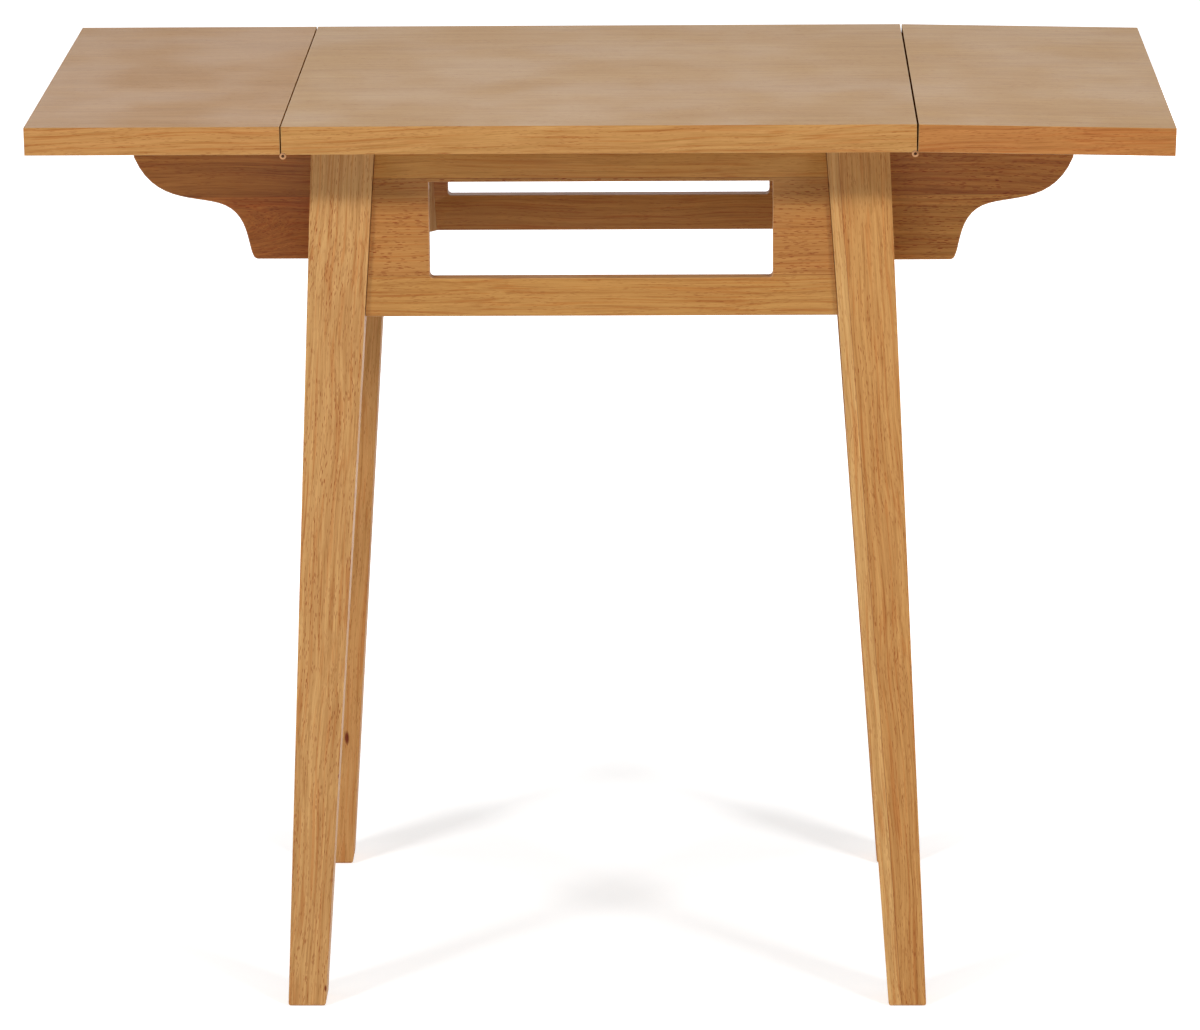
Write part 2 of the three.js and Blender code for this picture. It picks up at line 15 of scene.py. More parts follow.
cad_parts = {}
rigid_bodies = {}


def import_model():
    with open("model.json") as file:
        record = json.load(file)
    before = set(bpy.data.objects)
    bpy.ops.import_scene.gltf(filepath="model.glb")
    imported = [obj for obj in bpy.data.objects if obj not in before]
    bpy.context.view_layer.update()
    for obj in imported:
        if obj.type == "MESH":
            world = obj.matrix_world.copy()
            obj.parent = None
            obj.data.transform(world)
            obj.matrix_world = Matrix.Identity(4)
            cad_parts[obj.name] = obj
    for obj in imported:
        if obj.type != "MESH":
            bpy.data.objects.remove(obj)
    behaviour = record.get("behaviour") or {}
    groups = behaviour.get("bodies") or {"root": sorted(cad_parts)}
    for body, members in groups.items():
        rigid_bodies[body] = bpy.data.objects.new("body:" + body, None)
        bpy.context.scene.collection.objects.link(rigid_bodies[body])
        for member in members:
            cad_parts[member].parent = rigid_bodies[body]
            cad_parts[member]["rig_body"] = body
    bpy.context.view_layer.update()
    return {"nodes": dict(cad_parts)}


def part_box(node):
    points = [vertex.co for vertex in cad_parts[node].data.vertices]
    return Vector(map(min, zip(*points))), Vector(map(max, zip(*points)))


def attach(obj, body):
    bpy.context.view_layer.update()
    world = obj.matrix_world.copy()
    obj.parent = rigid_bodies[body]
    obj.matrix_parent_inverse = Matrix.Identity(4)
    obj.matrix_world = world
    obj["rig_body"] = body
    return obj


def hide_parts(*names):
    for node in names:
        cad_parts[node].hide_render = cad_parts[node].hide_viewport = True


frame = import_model()


# ---- Camera and studio ---------------------------------------------------------------------
# The table stands on a white floor in a white room, in front of a long lens. Two far soft boxes
# are the main light. Low lamps fill in from all sides, and a boom lamp over the table and a strip
# lamp behind it light the top.

LENS = 155.71
CAMERA_PLACE = Vector((0.09614, -4.19045, 1.62726))
CAMERA_TURN = math.radians(1.402)
CAMERA_TILT = math.radians(16.686)
CAMERA_ROLL = math.radians(-0.535)
ROOM_SIZE = 60

camera = bpy.data.objects.new("camera", bpy.data.cameras.new("camera"))
camera.data.lens = LENS
camera.data.clip_end = ROOM_SIZE
camera.matrix_world = (
    Matrix.Translation(CAMERA_PLACE)
    @ Matrix.Rotation(CAMERA_TURN, 4, "Z")
    @ Matrix.Rotation(math.pi / 2 - CAMERA_TILT, 4, "X")
    @ Matrix.Rotation(CAMERA_ROLL, 4, "Z")
)
bpy.context.scene.collection.objects.link(camera)
bpy.context.scene.camera = camera
bpy.context.scene.view_settings.view_transform = "Standard"

LAMP_AIM = Vector((0, 0, 0.45))


def lamp(name, azimuth, elevation, distance, width, height, power, in_gloss=True):
    """A rectangular lamp aimed at the table. Azimuth 0 is in front of it, and 90 to its right."""
    around, up = math.radians(azimuth), math.radians(elevation)
    out = Vector((math.sin(around) * math.cos(up), -math.cos(around) * math.cos(up), math.sin(up)))
    light = bpy.data.objects.new(name, bpy.data.lights.new(name, "AREA"))
    light.data.shape = "RECTANGLE"
    light.data.size = width
    light.data.size_y = height
    light.data.energy = power
    light.visible_glossy = in_gloss
    facing_in = out.to_track_quat("Z", "Y").to_matrix().to_4x4()
    light.matrix_world = Matrix.Translation(LAMP_AIM + out * distance) @ facing_in
    bpy.context.scene.collection.objects.link(light)


lamp("left_soft_box", azimuth=-45, elevation=37, distance=8.0, width=1.5, height=0.9, power=244)
lamp("right_soft_box", azimuth=45, elevation=37, distance=8.0, width=1.5, height=0.9, power=244)
lamp("front_fill", azimuth=0, elevation=2, distance=2.6, width=2.4, height=0.8, power=9.4, in_gloss=False)
lamp("boom_lamp", azimuth=0, elevation=76, distance=1.3, width=1.3, height=0.3, power=3.6, in_gloss=False)
lamp("rear_strip", azimuth=178, elevation=34, distance=1.08, width=1.6, height=0.2, power=1.2)
lamp("rear_fill", azimuth=168, elevation=2, distance=3.6, width=2.2, height=0.9, power=16, in_gloss=False)
lamp("left_fill", azimuth=-85, elevation=8, distance=3.0, width=1.2, height=1.2, power=13, in_gloss=False)
lamp("right_fill", azimuth=85, elevation=8, distance=3.0, width=1.2, height=1.2, power=13, in_gloss=False)


def plug(tree, socket, value):
    """Sets an input to a number or colour, or joins it to another node's output."""
    if isinstance(value, bpy.types.NodeSocket):
        tree.links.new(value, socket)
    else:
        socket.default_value = value


def add(tree, kind, **inputs):
    """One shader node, with its inputs by name."""
    made = tree.nodes.new("ShaderNode" + kind)
    for name, value in inputs.items():
        plug(tree, made.inputs[name.replace("_", " ")], value)
    return made


def maths(tree, operation, *values):
    """One step of arithmetic."""
    made = tree.nodes.new("ShaderNodeMath")
    made.operation = operation
    for socket, value in zip(made.inputs, values):
        plug(tree, socket, value)
    return made.outputs[0]


def vector_maths(tree, operation, *values):
    """One step of arithmetic on places or directions."""
    made = tree.nodes.new("ShaderNodeVectorMath")
    made.operation = operation
    for socket, value in zip(made.inputs, values):
        plug(tree, socket, value)
    return made.outputs["Value" if operation in ("DOT_PRODUCT", "LENGTH") else "Vector"]


def carried(tree, value, low, high, to_low=0.0, to_high=1.0, ease="SMOOTHSTEP"):
    """A value carried from one range to another and held at its ends."""
    made = add(tree, "MapRange", Value=value, From_Min=low, From_Max=high, To_Min=to_low, To_Max=to_high)
    made.interpolation_type = ease
    return made.outputs[0]


def seen_directly(tree):
    """1 for what the lens, a gloss or clear glass shows, and 0 for the light that falls on things."""
    path = add(tree, "LightPath").outputs
    gloss_or_glass = maths(tree, "MAXIMUM", path["Is Glossy Ray"], path["Is Transmission Ray"])
    return maths(tree, "MAXIMUM", path["Is Camera Ray"], gloss_or_glass)


WHITE = (1, 1, 1, 1)
ROOM_GLOW = 0.1

room = bpy.data.worlds.new("room")
room.use_nodes = True
room.node_tree.nodes.clear()
white_walls = add(room.node_tree, "Background", Color=WHITE, Strength=1.0)
soft_glow = add(room.node_tree, "Background", Color=WHITE, Strength=ROOM_GLOW)
walls = add(room.node_tree, "MixShader", Fac=seen_directly(room.node_tree))
plug(room.node_tree, walls.inputs[1], soft_glow.outputs[0])
plug(room.node_tree, walls.inputs[2], white_walls.outputs[0])
add(room.node_tree, "OutputWorld", Surface=walls.outputs[0])
bpy.context.scene.world = room


def material_tree(name):
    """A new material with an empty node tree."""
    material = bpy.data.materials.new(name)
    material.use_nodes = True
    material.node_tree.nodes.clear()
    return material, material.node_tree


FLOOR_GREY = (0.8, 0.8, 0.8, 1)
FLOOR_WHITENESS = 0.54
SHADOW_REACH = (0.3, 0.8)

white_floor, floor_tree = material_tree("white_floor")
from_table = vector_maths(floor_tree, "LENGTH", add(floor_tree, "TexCoord").outputs["Object"])
whiteness = carried(floor_tree, from_table, *SHADOW_REACH, FLOOR_WHITENESS, ease="LINEAR")
paint = add(
    floor_tree,
    "BsdfPrincipled",
    Base_Color=FLOOR_GREY,
    Roughness=0.9,
    Specular_IOR_Level=0.0,
    Emission_Color=WHITE,
    Emission_Strength=maths(floor_tree, "MULTIPLY", seen_directly(floor_tree), whiteness),
)
add(floor_tree, "OutputMaterial", Surface=paint.outputs[0])

bpy.ops.mesh.primitive_plane_add(size=ROOM_SIZE)
floor = bpy.context.object
floor.name = "studio_floor"
floor.data.materials.append(white_floor)


# ---- Centre top ----------------------------------------------------------------------------
# A fixed board that is screwed to the frame. It is veneered above and below, and solid lippings
# show their long grain on its edges. Its arrises are eased with sandpaper, under satin lacquer.


def stain(red, green, blue):
    """A colour written in 0 to 255, as a shader takes it."""
    linear = []
    for value in (red, green, blue):
        share = value / 255
        linear.append(share / 12.92 if share <= 0.04045 else ((share + 0.055) / 1.055) ** 2.4)
    return (*linear, 1)


def tinted(tree, share, first, second, blend="MIX"):
    """The second colour laid over the first by a share."""
    made = tree.nodes.new("ShaderNodeMix")
    made.data_type = "RGBA"
    made.blend_type = blend
    plug(tree, made.inputs[0], share)
    plug(tree, made.inputs[6], first)
    plug(tree, made.inputs[7], second)
    return made.outputs[2]


def patches(tree, place, length, width, starts, full, least=0.0, most=1.0, detail=2.0):
    """Soft patches of a size in metres, on a cloud that runs from 0 to 1: they start at one level
    of it and are full at another."""
    scaled = vector_maths(tree, "MULTIPLY", place, (1 / length, 1 / width, 1 / width))
    cloud = add(tree, "TexNoise", Vector=scaled, Scale=1.0, Detail=detail).outputs[0]
    return carried(tree, cloud, starts, full, least, most)


GRAIN_DRIFT = 0.014
DRIFT_LENGTH = 0.16
DRIFT_WIDTH = 0.05
RING_WIDTH = 0.0032
DEEPEST = 0.12
PORE_SPACING = 0.00075
PORE_STRIDE = 0.0090
PORE_EDGE = (0.16, 0.3)


def rubberwood():
    """The timber itself, in metres with its grain along X: how pale it is, where it has red streaks,
    and the open pores that show as short dark dashes."""
    tree = bpy.data.node_groups.new("rubberwood", "ShaderNodeTree")
    tree.interface.new_socket("Grain", in_out="INPUT", socket_type="NodeSocketVector")
    for name in ("Pale", "Red", "Pore"):
        tree.interface.new_socket(name, in_out="OUTPUT", socket_type="NodeSocketFloat")
    grain = tree.nodes.new("NodeGroupInput").outputs[0]
    ends = tree.nodes.new("NodeGroupOutput").inputs

    slow = vector_maths(tree, "MULTIPLY", grain, (1 / DRIFT_LENGTH, 1 / DRIFT_WIDTH, 1 / DRIFT_WIDTH))
    drift = add(tree, "TexNoise", Vector=slow, Scale=1.0, Detail=1.0).outputs["Color"]
    grain = vector_maths(tree, "MULTIPLY_ADD", drift, (0, GRAIN_DRIFT, GRAIN_DRIFT), grain)

    from_pith = vector_maths(tree, "LENGTH", vector_maths(tree, "MULTIPLY", grain, (0, 1, 1)))
    ring = maths(tree, "DIVIDE", from_pith, RING_WIDTH)
    rings = carried(tree, maths(tree, "PINGPONG", ring, 1.0), 0.0, 1.0)
    streaks = patches(tree, grain, length=0.2, width=0.0026, starts=0.32, full=0.68, detail=3.0)
    fibres = patches(tree, grain, length=0.03, width=0.0007, starts=0.3, full=0.7)
    clouds = patches(tree, grain, length=0.3, width=0.05, starts=0.3, full=0.7)
    threads = patches(tree, grain, length=0.07, width=0.0012, starts=0.56, full=0.68)
    layers = ((rings, 0.16), (streaks, 0.34), (fibres, 0.28), (clouds, 0.18), (threads, -0.35))
    pale = DEEPEST
    for layer, share in layers:
        pale = maths(tree, "MULTIPLY_ADD", layer, share, pale)
    plug(tree, ends["Pale"], pale)
    plug(tree, ends["Red"], patches(tree, grain, length=0.14, width=0.0018, starts=0.5, full=0.66))

    cells = vector_maths(tree, "MULTIPLY", grain, (1 / PORE_STRIDE, 1 / PORE_SPACING, 1 / PORE_SPACING))
    middle = add(tree, "TexVoronoi", Vector=cells, Scale=1.0).outputs["Distance"]
    dash = carried(tree, middle, *PORE_EDGE, 1.0, 0.0)
    crowd = patches(tree, grain, length=0.05, width=0.008, starts=0.35, full=0.6, least=0.25)
    plug(tree, ends["Pore"], maths(tree, "MULTIPLY", dash, crowd))
    return tree


WOOD = rubberwood()
BOARD_SHIFT = Vector((0.41, 0.053, 0.037))
NO_TINT = (255, 255, 255)
GLUE_LINE = 0.0003
GLUE_DARKNESS = 0.8
GLUE_BROWN = (150, 92, 60)


def glued(tree, place, sawn, pores, boards):
    """Where each board of a piece was sawn from, the strength of its pores and its tint."""
    tint = stain(*NO_TINT)
    for count, (normal, distance, colour, more_pores) in enumerate(boards):
        reach = vector_maths(tree, "DOT_PRODUCT", place, Vector(normal).normalized())
        past = maths(tree, "GREATER_THAN", reach, distance)
        sawn = vector_maths(tree, "MULTIPLY_ADD", past, BOARD_SHIFT * (count + 1), sawn)
        tint = tinted(tree, past, tint, stain(*colour))
        pores = maths(tree, "MULTIPLY_ADD", past, more_pores, pores)
        gap = maths(tree, "ABSOLUTE", maths(tree, "SUBTRACT", reach, distance))
        line = carried(tree, gap, 0.0, GLUE_LINE, GLUE_DARKNESS, 0.0)
        tint = tinted(tree, line, tint, stain(*GLUE_BROWN), "MULTIPLY")
    return sawn, pores, tint


def share_out(tree, place, middle, size):
    """How far a place is from the middle of an egg shape: 0 there, and 1 on its surface."""
    off = vector_maths(tree, "SUBTRACT", place, middle)
    return vector_maths(tree, "LENGTH", vector_maths(tree, "DIVIDE", off, Vector(size) / 2))


RED_STREAK = (238, 204, 174)
PORE_BROWN = (178, 90, 22)
KNOT_BROWN = (150, 92, 60)
KNOT_EDGE = (0.45, 1.3)
# The eased arrises are painted paler, partly as rubbed wear and partly as a painted highlight.
ARRIS_PALE_WEAR_AND_HIGHLIGHT = (255, 214, 160)
WEAR_AND_HIGHLIGHT_SHARE = 0.12
FIBRE_RELIEF = 0.25
SMEAR_SIZE = 0.09
GLOSS_DRIFT = 0.05
PORE_DULLNESS = 0.15


def timber(
    name, pale, deep, grain, start,
    pores=0.8, red=0.6, boards=(), swirls=(), knots=(), gloss=0.42, sheen=0.2,
):
    """Lacquered rubberwood. Grain is the direction it runs in, and start the place in the log that
    the piece was sawn from. Boards are the glued joints in it: past each plane, given by its normal
    and its distance from the origin, another board begins, whose tint multiplies the colour and
    whose pores are stronger or weaker. Swirls are places where the grain is pushed over, round a
    branch, and knots are dark spots: each has its middle and its size along X, Y and Z. Gloss is the
    roughness of the lacquer, and sheen the strength of what it mirrors."""
    material, tree = material_tree(name)
    place = add(tree, "TexCoord").outputs["Object"]
    turn = Vector(grain).normalized().rotation_difference(Vector((1, 0, 0))).to_euler()
    sawn = add(tree, "Mapping", Vector=place, Rotation=turn, Location=start).outputs[0]
    sawn, pores, tint = glued(tree, place, sawn, pores, boards)
    for middle, size, push in swirls:
        near = carried(tree, share_out(tree, place, middle, size), 0.0, 1.0, 1.0, 0.0)
        sawn = vector_maths(tree, "MULTIPLY_ADD", near, (push, push, push), sawn)
    wood = tree.nodes.new("ShaderNodeGroup")
    wood.node_tree = WOOD
    plug(tree, wood.inputs["Grain"], sawn)

    colour = tinted(tree, wood.outputs["Pale"], stain(*deep), stain(*pale))
    redness = maths(tree, "MULTIPLY", wood.outputs["Red"], red)
    colour = tinted(tree, redness, colour, stain(*RED_STREAK), "MULTIPLY")
    pore = maths(tree, "MULTIPLY", wood.outputs["Pore"], pores)
    colour = tinted(tree, pore, colour, stain(*PORE_BROWN), "MULTIPLY")
    for middle, size in knots:
        spot = carried(tree, share_out(tree, place, middle, size), *KNOT_EDGE, 1.0, 0.0)
        colour = tinted(tree, spot, colour, stain(*KNOT_BROWN), "MULTIPLY")
    colour = tinted(tree, 1.0, colour, tint, "MULTIPLY")
    # The rounded arrises are painted paler: partly rubbed wear, partly a painted highlight.
    arris = add(tree, "Attribute")
    arris.attribute_name = "arris"
    worn_and_highlit = maths(tree, "MULTIPLY", arris.outputs["Fac"], WEAR_AND_HIGHLIGHT_SHARE)
    colour = tinted(tree, worn_and_highlit, colour, stain(*ARRIS_PALE_WEAR_AND_HIGHLIGHT))

    relief = maths(tree, "SUBTRACT", maths(tree, "MULTIPLY", wood.outputs["Pale"], FIBRE_RELIEF), pore)
    bump = add(tree, "Bump", Strength=0.25, Distance=0.0002, Height=relief)
    smooth, dull = gloss - GLOSS_DRIFT, gloss + GLOSS_DRIFT
    smears = patches(tree, place, SMEAR_SIZE, SMEAR_SIZE, starts=0.3, full=0.7, least=smooth, most=dull)
    lacquer = add(
        tree,
        "BsdfPrincipled",
        Base_Color=colour,
        Roughness=maths(tree, "ADD", smears, maths(tree, "MULTIPLY", pore, PORE_DULLNESS)),
        Specular_IOR_Level=sheen,
        Normal=bump.outputs[0],
    )
    add(tree, "OutputMaterial", Surface=lacquer.outputs[0])
    return material


def placed(name, shape, materials, body):
    """The piece that a bmesh becomes, carried by a body of the frame."""
    mesh = bpy.data.meshes.new(name)
    shape.to_mesh(mesh)
    shape.free()
    for material in materials:
        mesh.materials.append(material)
    piece = bpy.data.objects.new(name, mesh)
    bpy.context.scene.collection.objects.link(piece)
    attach(piece, body)
    return piece


SAME_POINT = 1e-6
FLAT_ANGLE = math.radians(0.3)
SHARP_ABOVE = math.radians(35)
SMOOTH_BELOW = math.radians(25)


def finished(node, ease, materials, pick=None):
    """The piece that is made from a solid: the same shape, with its edges rounded over by ease. Pick
    chooses each face's material, and the rounded edges carry the mark that timber() paints pale, as
    wear and as a painted highlight."""
    source = frame["nodes"][node]
    shape = bmesh.new()
    shape.from_mesh(source.data)
    bmesh.ops.remove_doubles(shape, verts=shape.verts, dist=SAME_POINT)
    bmesh.ops.dissolve_limit(shape, angle_limit=FLAT_ANGLE, verts=shape.verts, edges=shape.edges)
    for face in shape.faces:
        face.smooth = True
        face.material_index = pick(face) if pick else 0
    mark = shape.faces.layers.float.new("arris")
    sharp = [e for e in shape.edges if len(e.link_faces) == 2 and e.calc_face_angle() > SHARP_ABOVE]
    rounded = bmesh.ops.bevel(
        shape, geom=sharp, offset=ease, segments=2, profile=0.5, affect="EDGES", clamp_overlap=True
    )
    for face in rounded["faces"]:
        face[mark] = 1.0
    piece = placed(node + "_finished", shape, materials, source["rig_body"])
    piece.data.set_sharp_from_angle(angle=SMOOTH_BELOW)
    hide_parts(node)
    return piece


FACING = 0.7
SEAM_MARGIN = 0.0035
SEAM_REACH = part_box("centre_top")[1].x + SEAM_MARGIN


def board_face(face):
    """0 for the veneered faces of a board, 1 for its front and back edges, 2 for its outer end, and
    3 for the ends that meet in a seam, which are painted dark as the shade in the gap."""
    if abs(face.normal.z) > FACING:
        return 0
    if abs(face.normal.y) > FACING:
        return 1
    return 3 if abs(face.calc_center_median().x) < SEAM_REACH else 2


def board_timbers(name, veneer, lipping, seam, start):
    """The timbers of a board, each from a pale and a deep tone: its veneer, the lippings along X and
    along Y, and the ends at a seam."""
    faces = timber(
        name + "_veneer", *veneer, (1, 0, 0), start, pores=0.4, red=0.12, gloss=0.36, sheen=0.06
    )
    edges = timber(name + "_lipping", *lipping, (1, 0, 0.03), start, pores=0.6)
    outer_end = timber(name + "_end_lipping", *lipping, (0, 1, 0.02), start, pores=0.6)
    # The ends at a seam are painted dark, as the shade in the gap between two boards.
    seam_shade_end = timber(name + "_seam_shade_end", *seam, (0, 1, 0.02), start, sheen=0.0)
    return [faces, edges, outer_end, seam_shade_end]


TOP_EASE = 0.0004
# Painted shade for the ends at a seam: dark brown, as the gap between the boards.
DARK_SEAM_SHADE = ((112, 56, 24), (80, 38, 14))
CENTRE_TIMBERS = board_timbers(
    "centre_top",
    veneer=((177, 138, 87), (159, 117, 67)),
    lipping=((202, 151, 88), (168, 113, 53)),
    seam=DARK_SEAM_SHADE,
    start=(0.1, 0.06, 0.03),
)
finished("centre_top", TOP_EASE, CENTRE_TIMBERS, board_face)


# ---- Leaves --------------------------------------------------------------------------------
# Two boards like the centre top, hung on its ends. Under each, a small wooden pad is glued where
# the bracket comes to bear. The ends at the seams are painted dark as the shade in the gap, the left
# leaf's paler than the right's.

# A paler painted shade, for the left leaf's end at its seam.
PALE_SEAM_SHADE = ((176, 104, 54), (138, 78, 38))
LEAF_TIMBERS = {
    "left": board_timbers(
        "left_leaf",
        veneer=((173, 129, 76), (153, 109, 58)),
        lipping=((202, 149, 87), (168, 113, 54)),
        seam=PALE_SEAM_SHADE,
        start=(0.3, -0.05, 0.09),
    ),
    "right": board_timbers(
        "right_leaf",
        veneer=((180, 140, 87), (161, 119, 69)),
        lipping=((192, 129, 68), (158, 98, 44)),
        seam=DARK_SEAM_SHADE,
        start=(0.9, 0.07, -0.06),
    ),
}
PAD_EASE = 0.0004
PAD_TIMBER = timber("pad_timber", (196, 144, 86), (166, 112, 58), (1, 0, 0), (0.2, 0.03, 0.02))
for side, leaf_timbers in LEAF_TIMBERS.items():
    finished(side + "_leaf", TOP_EASE, leaf_timbers, board_face)
    finished(side + "_leaf_pad", PAD_EASE, [PAD_TIMBER])


# ---- Seam hinges ---------------------------------------------------------------------------
# A brass piano hinge along the underside of each seam, let into shallow rebates. Its rolled
# knuckles take turns round a steel pin, and small countersunk screws hold each wing.

LINE_GREY = (190, 190, 190)
LINE_SHARE = 0.15
LINE_DULLNESS = 0.06
WORN_DULLNESS = 0.15


def metal(name, colour, worn, roughness, along):
    """Rolled or turned metal with fine draw lines along one direction and dull finger-worn patches."""
    material, tree = material_tree(name)
    place = add(tree, "TexCoord").outputs["Object"]
    turn = Vector(along).rotation_difference(Vector((1, 0, 0))).to_euler()
    drawn = add(tree, "Mapping", Vector=place, Rotation=turn).outputs[0]
    lines = patches(tree, drawn, length=0.02, width=0.0003, starts=0.3, full=0.7)
    dull = patches(tree, place, length=0.012, width=0.012, starts=0.4, full=0.65, detail=3.0)
    tone = tinted(tree, dull, stain(*colour), stain(*worn))
    tone = tinted(tree, maths(tree, "MULTIPLY", lines, LINE_SHARE), tone, stain(*LINE_GREY), "MULTIPLY")
    polish = carried(tree, dull, 0.0, 1.0, roughness, roughness + WORN_DULLNESS)
    bump = add(tree, "Bump", Strength=0.15, Distance=0.00005, Height=lines)
    surface = add(
        tree,
        "BsdfPrincipled",
        Base_Color=tone,
        Metallic=1.0,
        Roughness=maths(tree, "ADD", polish, maths(tree, "MULTIPLY", lines, LINE_DULLNESS)),
        Normal=bump.outputs[0],
    )
    add(tree, "OutputMaterial", Surface=surface.outputs[0])
    return material


BRASS = {"colour": (180, 136, 98), "worn": (142, 98, 64), "roughness": 0.45}
HINGE_BRASS = metal("hinge_brass", **BRASS, along=(0, 1, 0))
PIN_STEEL = metal("pin_steel", (74, 48, 32), (52, 34, 24), 0.5, along=(0, 1, 0))
SCREW_STEEL = metal("screw_steel", (196, 190, 176), (150, 142, 128), 0.3, along=(1, 0, 0))

SCREW_RADIUS = 0.0026
SCREW_RISE = 0.0003
HEAD_SIDES = 20
HEAD_PROFILE = ((1.0, -0.15), (1.0, 0.25), (0.72, 1.0))
CROSS_REACH = 0.0016
CROSS_HALF_WIDTH = 0.0004
CROSS_FLOOR = 0.1


def circle(shape, radius, height):
    """New points evenly round a circle."""
    angles = [2 * math.pi * k / HEAD_SIDES for k in range(HEAD_SIDES)]
    return [shape.verts.new((radius * math.cos(a), radius * math.sin(a), height)) for a in angles]


def screw_head():
    """The mesh of a raised countersunk head that faces +Z, with a cross cut into it. Its profile is
    in shares of its radius and its rise."""
    head = bmesh.new()
    rims = [circle(head, SCREW_RADIUS * share, SCREW_RISE * rise) for share, rise in HEAD_PROFILE]
    for lower, upper in zip(rims, rims[1:]):
        for k in range(HEAD_SIDES):
            after = (k + 1) % HEAD_SIDES
            head.faces.new((lower[k], lower[after], upper[after], upper[k]))
    head.faces.new(reversed(rims[0]))

    arm = [
        Vector((CROSS_REACH, -CROSS_HALF_WIDTH)),
        Vector((CROSS_REACH, CROSS_HALF_WIDTH)),
        Vector((CROSS_HALF_WIDTH, CROSS_HALF_WIDTH)),
    ]
    quarters = [Matrix.Rotation(quarter * math.pi / 2, 2) for quarter in range(4)]
    cross = [turn @ point for turn in quarters for point in arm]
    lip = [head.verts.new((*point, SCREW_RISE)) for point in cross]
    sunk = [head.verts.new((*point, SCREW_RISE * CROSS_FLOOR)) for point in cross]
    for k in range(len(cross)):
        after = (k + 1) % len(cross)
        head.faces.new((lip[after], lip[k], sunk[k], sunk[after]))
    head.faces.new(sunk)

    edges = [head.edges.get(pair) for loop in (rims[-1], lip) for pair in zip(loop, loop[1:] + loop[:1])]
    bmesh.ops.triangle_fill(head, edges=edges, use_beauty=True, use_dissolve=False, normal=(0, 0, 1))
    bmesh.ops.recalc_face_normals(head, faces=head.faces)
    mesh = bpy.data.meshes.new("screw_head")
    head.to_mesh(mesh)
    head.free()
    return mesh


SCREW_HEAD = screw_head()
HEAD_TURN = 1.1


def screw_heads(name, places, out, body):
    """A row of screw heads in one piece that face out, each turned further than the one before."""
    facing = Vector((0, 0, 1)).rotation_difference(Vector(out)).to_matrix().to_4x4()
    heads = bmesh.new()
    for count, place in enumerate(places):
        head = SCREW_HEAD.copy()
        head.transform(Matrix.Translation(place) @ facing @ Matrix.Rotation(count * HEAD_TURN, 4, "Z"))
        heads.from_mesh(head)
        bpy.data.meshes.remove(head)
    placed(name, heads, [SCREW_STEEL], body)


SQUARELY = 0.98


def widest_face(piece, towards):
    """The middle and the facing of a piece's largest flat face towards one side."""
    facing = [face for face in piece.data.polygons if face.normal.dot(Vector(towards)) > SQUARELY]
    face = max(facing, key=lambda found: found.area)
    corners = [piece.data.vertices[v].co for v in face.vertices]
    low = Vector(map(min, zip(*corners)))
    high = Vector(map(max, zip(*corners)))
    return (low + high) / 2, face.normal.copy()


WING_EASE = 0.00015
PIN_EASE = 0.0001
SEAM_SCREWS = 8


def screwed_wing(node, brass, towards, along, screws):
    """A wing of a hinge, with a row of screws along the middle of its face towards one side."""
    wing = finished(node, WING_EASE, [brass])
    middle, out = widest_face(wing, towards)
    low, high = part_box(node)
    step = (high - low).dot(Vector(along)) / screws
    places = [middle + Vector(along) * step * (k - (screws - 1) / 2) for k in range(screws)]
    screw_heads(node + "_screws", places, out, wing["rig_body"])


for side in ("left", "right"):
    for wing in ("top_wing", "leaf_wing"):
        node = f"{side}_seam_hinge_{wing}"
        screwed_wing(node, HINGE_BRASS, towards=(0, 0, -1), along=(0, 1, 0), screws=SEAM_SCREWS)
    finished(f"{side}_seam_hinge_pin", PIN_EASE, [PIN_STEEL])


# ---- Aprons --------------------------------------------------------------------------------
# The two long sides of the frame, each glued up from a top rail, a bottom rail and two end
# blocks round a long window. They stand between the legs, set back a little from their faces.

RAIL_EASE = 0.0007
TOP_RAIL_DEPTH = 0.0312
BOTTOM_RAIL_DEPTH = 0.0333
BLOCK_TINT = (234, 229, 238)
BOTTOM_TINT = (242, 246, 255)
apron_low, apron_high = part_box("front_apron")
APRON_BOARDS = [
    ((0, 0, -1), TOP_RAIL_DEPTH - apron_high.z, BLOCK_TINT, 1.2),
    ((0, 0, -1), -BOTTOM_RAIL_DEPTH - apron_low.z, BOTTOM_TINT, -1.1),
]
APRON_TIMBERS = {
    "front": timber(
        "front_apron_timber",
        (206, 150, 78),
        (172, 111, 50),
        (1, 0, 0),
        (0.7, 0.045, 0.02),
        pores=0.4,
        boards=APRON_BOARDS,
    ),
    "back": timber(
        "back_apron_timber",
        (200, 136, 64),
        (164, 98, 38),
        (1, 0, 0),
        (1.6, -0.05, 0.05),
        pores=0.4,
        boards=APRON_BOARDS,
    ),
}
for side, apron_timber in APRON_TIMBERS.items():
    finished(side + "_apron", RAIL_EASE, [apron_timber])


# ---- End rails and cleats ------------------------------------------------------------------
# A plain board joins the legs at each end, under the leaf's hinge, and a square cleat along the
# inside of each apron takes the screws that hold the centre top down.

END_RAIL_TIMBER = timber("end_rail_timber", (190, 136, 78), (160, 104, 52), (0, 1, 0), (0.5, 0.06, 0.04))
CLEAT_TIMBER = timber("cleat_timber", (196, 148, 92), (170, 118, 64), (1, 0, 0), (2.2, 0.04, 0.07))
for side in ("left", "right"):
    finished(side + "_end_rail", RAIL_EASE, [END_RAIL_TIMBER])
for side in ("front", "back"):
    finished(side + "_cleat", RAIL_EASE, [CLEAT_TIMBER])


# ---- Legs ----------------------------------------------------------------------------------
# Four tapered legs, splayed both ways, sawn with the grain along their length. The front right
# one is glued up from two boards. All their edges are eased, down to the foot.

LEG_EASE = 0.0015
LEVEL_WITHIN = 0.001


def lean(node):
    """The direction from the middle of a leg's foot to the middle of its top."""
    points = [v.co for v in frame["nodes"][node].data.vertices]
    low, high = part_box(node)
    ends = []
    for height in (low.z, high.z):
        level = [p for p in points if abs(p.z - height) < LEVEL_WITHIN]
        ends.append(sum(level, Vector()) / len(level))
    return (ends[1] - ends[0]).normalized()


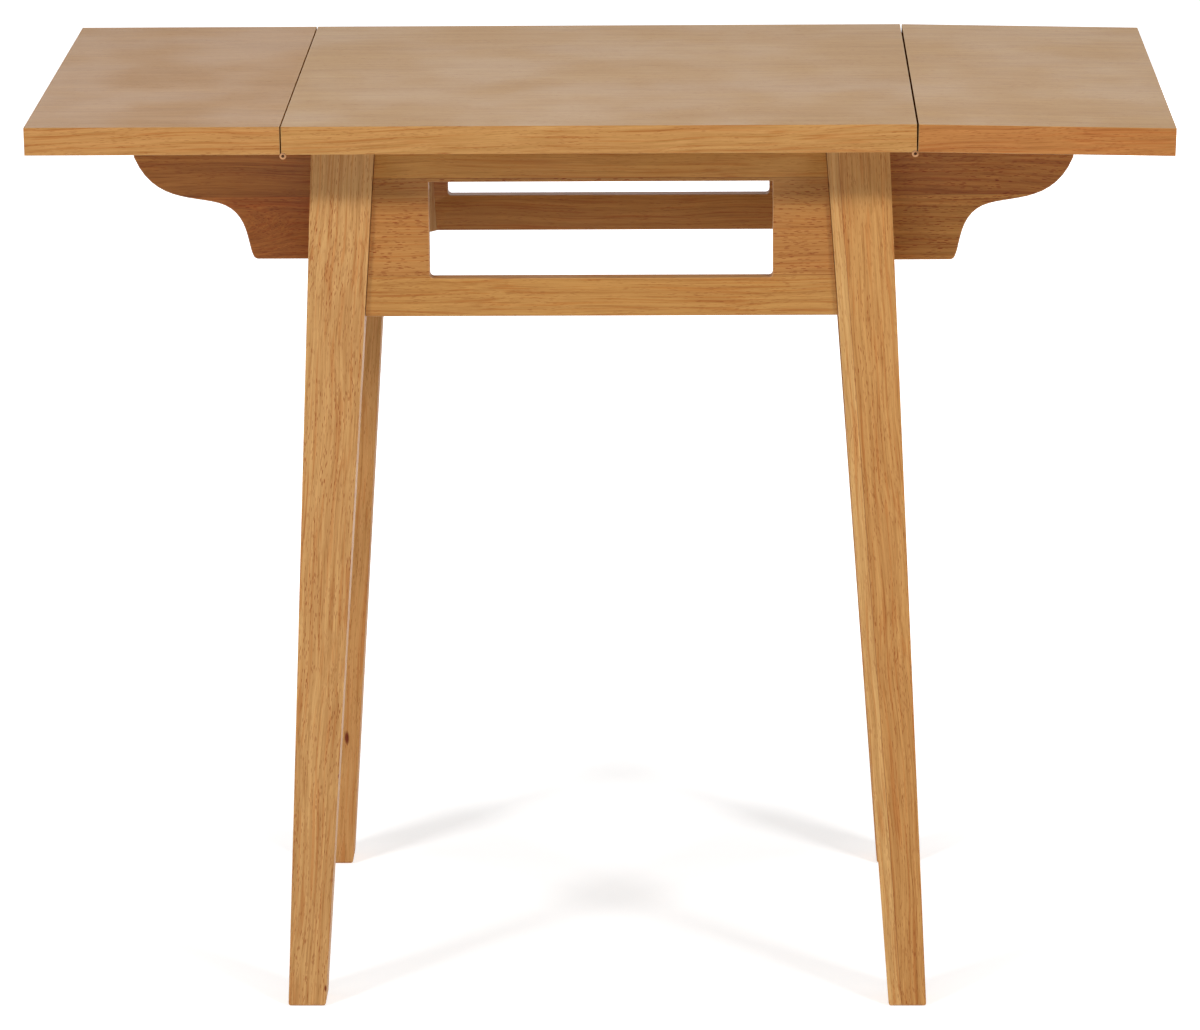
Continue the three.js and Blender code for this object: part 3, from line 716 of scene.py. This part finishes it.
# Each leg's pale and deep tone, its place in the log and the strength of its pores
LEGS = {
    "front_left": ((214, 166, 105), (168, 114, 60), (0.3, 0.05, 0.03), 1.0),
    "front_right": ((222, 175, 111), (175, 121, 64), (1.3, 0.09, 0.02), 0.6),
    "back_left": ((211, 157, 96), (178, 123, 65), (2.3, 0.03, 0.08), 0.7),
    "back_right": ((211, 157, 96), (178, 123, 65), (3.3, 0.06, 0.06), 0.7),
}
LEG_JOINTS = {"front_right": [((1, 0, 0.077), 0.2438, (243, 232, 218), 0.2)]}
LEG_KNOTS = {
    "front_left": [((-0.2335, -0.183, 0.016), (0.0022, 0.0022, 0.006))],
    "back_left": [((-0.236, 0.148, 0.121), (0.0045, 0.0045, 0.013))],
}
LEG_SWIRLS = {"front_right": [((0.181, -0.19, 0.655), (0.034, 0.08, 0.1), 0.012)]}
for corner, (pale, deep, start, pores) in LEGS.items():
    leg_timber = timber(
        corner + "_leg_timber",
        pale,
        deep,
        lean(corner + "_leg"),
        start,
        pores=pores,
        boards=LEG_JOINTS.get(corner, ()),
        swirls=LEG_SWIRLS.get(corner, ()),
        knots=LEG_KNOTS.get(corner, ()),
        gloss=0.5,
    )
    finished(corner + "_leg", LEG_EASE, [leg_timber])


# ---- Corner braces and bolts ---------------------------------------------------------------
# A block across each inner corner is drawn tight against leg and rails by two bolts, each
# screwed into the leg, with a zinc plated washer and nut on the block.

BOLT_EASE = 0.0003
BRACE_TIMBER = timber("brace_timber", (200, 154, 100), (176, 126, 74), (0, 0, 1), (0.8, 0.02, 0.05))
ZINC_STEEL = metal("zinc_steel", (198, 200, 202), (150, 152, 156), 0.3, along=(0, 0, 1))
for corner in LEGS:
    finished(corner + "_brace", RAIL_EASE, [BRACE_TIMBER])
    for level in ("upper", "lower"):
        for part in ("bolt", "washer", "nut"):
            finished(f"{corner}_{level}_{part}", BOLT_EASE, [ZINC_STEEL])


# ---- Brackets ------------------------------------------------------------------------------
# A shaped board swings out under each leaf on its own brass hinge, which is screwed to the end
# rail. Each is glued up from two boards, and its edges are eased by hand.

BRACKET_EASE = 0.0010
GLUED_AT = 0.661
LEFT_TIMBER = timber(
    "left_bracket_timber",
    (191, 119, 56),
    (134, 70, 24),
    (1, 0, 0),
    (0.6, 0.07, 0.02),
    boards=[((0, 0, 1), GLUED_AT, (240, 250, 250), -0.2)],
    swirls=[((-0.3, -0.05, 0.632), (0.12, 0.06, 0.06), 0.02)],
)
RIGHT_TIMBER = timber(
    "right_bracket_timber",
    (205, 146, 75),
    (151, 93, 37),
    (1, 0, 0),
    (1.9, 0.05, 0.04),
    pores=1.8,
    # The upper board is darker, partly its own tone and partly painted shade under the leaf.
    boards=[((0, 0, 1), GLUED_AT, (230, 214, 200), 0.0)],
)
BRACKET_BRASS = metal("bracket_brass", **BRASS, along=(0, 0, 1))
BRACKET_SCREWS = 4
for side, wood, outwards in (("left", LEFT_TIMBER, -1), ("right", RIGHT_TIMBER, 1)):
    finished(side + "_bracket", BRACKET_EASE, [wood])
    for wing, towards in (("bracket_wing", (0, 1, 0)), ("rail_wing", (outwards, 0, 0))):
        node = f"{side}_bracket_hinge_{wing}"
        screwed_wing(node, BRACKET_BRASS, towards, along=(0, 0, 1), screws=BRACKET_SCREWS)
    finished(f"{side}_bracket_hinge_pin", PIN_EASE, [PIN_STEEL])
